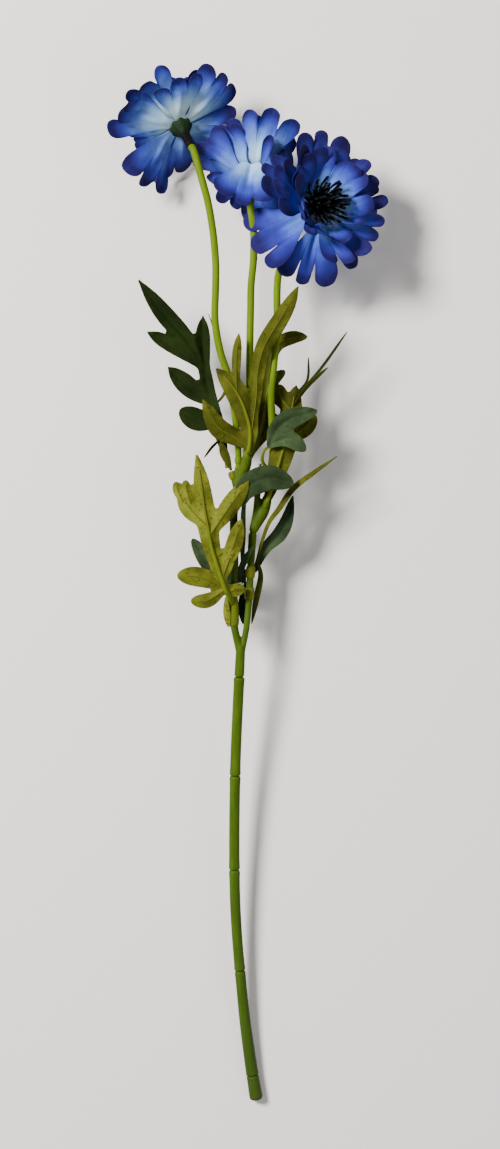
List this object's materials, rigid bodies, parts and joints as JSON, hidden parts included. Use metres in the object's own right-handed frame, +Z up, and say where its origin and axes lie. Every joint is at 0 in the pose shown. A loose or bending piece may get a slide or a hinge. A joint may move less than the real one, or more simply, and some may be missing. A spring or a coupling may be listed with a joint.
{
  "type": "artificial cornflower spray",
  "caption": "Artificial flower spray lying down: bowed moulded stem, forked branches, blue fabric petal heads with black stamens, and lobed fabric leaves.",
  "frame": {"origin": "middle of the bounding box in plan, at the height of the surface the spray lies on", "axes": "+Y from the cut end of the stem to the flowers, +X across the spray, +Z up"},
  "size_m": [0.1468, 0.5502, 0.0704],
  "materials": {
    "stem_plastic": "moulded polyethylene, satin, fine mould grain",
    "branch_plastic": "moulded polyethylene, satin, yellower green",
    "wire_steel": "drawn steel wire, dull",
    "petal_fabric": "stiffened woven fabric, dyed blue with pale centre and dark tips",
    "calyx_plastic": "moulded, near black, dark green at the cup",
    "stamen_plastic": "moulded, near black, slight sheen",
    "leaf_fabric": "stiffened woven fabric, dark blue-green on top, speckled olive beneath",
    "rib_plastic": "moulded over the leaf, satin"
  },
  "bodies": {
    "root": {"stem_piece_1": "stem_plastic", "stem_piece_2": "stem_plastic", "stem_piece_3": "stem_plastic", "stem_piece_4": "stem_plastic", "stem_piece_5": "stem_plastic", "stem_wire": "wire_steel", "stem_fork": "branch_plastic", "wire_end_left": "wire_steel", "wire_end_bare": "wire_steel", "flower_left_stem": "branch_plastic", "flower_left_calyx": "calyx_plastic", "flower_left_petals_outer": "petal_fabric", "flower_left_petals_middle": "petal_fabric", "flower_left_petals_inner": "petal_fabric", "flower_left_stamens": "stamen_plastic", "flower_middle_stem": "branch_plastic", "flower_middle_calyx": "calyx_plastic", "flower_middle_petals_outer": "petal_fabric", "flower_middle_petals_middle": "petal_fabric", "flower_middle_petals_inner": "petal_fabric", "flower_middle_stamens": "stamen_plastic", "flower_right_stem": "branch_plastic", "flower_right_calyx": "calyx_plastic", "flower_right_petals_outer": "petal_fabric", "flower_right_petals_middle": "petal_fabric", "flower_right_petals_inner": "petal_fabric", "flower_right_stamens": "stamen_plastic", "leaf_low_front_blade": "leaf_fabric", "leaf_low_front_rib": "rib_plastic", "leaf_low_back_blade": "leaf_fabric", "leaf_low_back_rib": "rib_plastic", "leaf_low_right_blade": "leaf_fabric", "leaf_low_right_rib": "rib_plastic", "leaf_left_blade": "leaf_fabric", "leaf_left_rib": "rib_plastic", "leaf_centre_blade": "leaf_fabric", "leaf_centre_rib": "rib_plastic", "leaf_behind_blade": "leaf_fabric", "leaf_behind_rib": "rib_plastic", "leaf_right_blade": "leaf_fabric", "leaf_right_rib": "rib_plastic", "leaf_right_front_blade": "leaf_fabric", "leaf_right_front_rib": "rib_plastic"}
  },
  "joints": []
}
